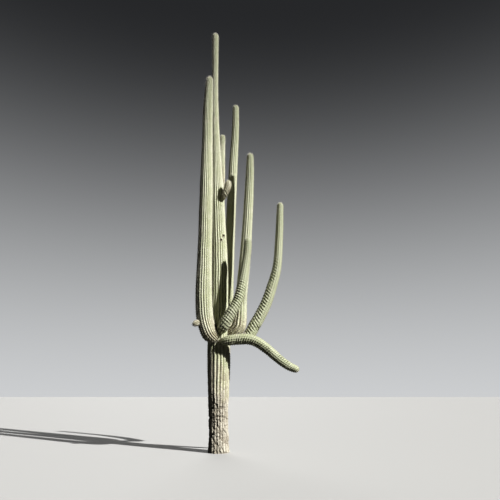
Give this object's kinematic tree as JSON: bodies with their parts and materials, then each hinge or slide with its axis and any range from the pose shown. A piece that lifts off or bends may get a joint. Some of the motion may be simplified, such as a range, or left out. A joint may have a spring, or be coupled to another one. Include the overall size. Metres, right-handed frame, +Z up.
{
  "type": "saguaro cactus",
  "caption": "Tall, ribbed saguaro cactus rooted in the ground: a leaning trunk with upright, sweeping and drooping arms.",
  "frame": {"origin": "middle of the flat cut under the trunk, at ground level", "axes": "+Z up along the trunk, +X to the viewer's right in the picture, -Y towards the viewer"},
  "size_m": [2.6845, 1.378, 12.37],
  "materials": {
    "trunk_skin": "ribbed, waxy grey-green skin, turning to grey-brown cork near the ground",
    "arm_skin": "ribbed, waxy grey-green skin with rows of spine cushions",
    "spines": "dry, pale spines in close clusters along every rib"
  },
  "bodies": {
    "root": {"trunk": "trunk_skin", "left_front_arm_elbow": "arm_skin", "left_front_arm_upright": "arm_skin", "back_arm_elbow": "arm_skin", "back_arm_upright": "arm_skin", "right_arm_elbow": "arm_skin", "right_arm_upright": "arm_skin", "outer_arm_reach": "arm_skin", "outer_arm_sweep": "arm_skin", "outer_arm_upright": "arm_skin", "front_arm_elbow": "arm_skin", "front_arm_upright": "arm_skin", "drooping_arm_arch": "arm_skin", "drooping_arm_end": "arm_skin", "fork_arm": "arm_skin", "stub_arm": "arm_skin", "arm_bud": "arm_skin"}
  },
  "joints": []
}
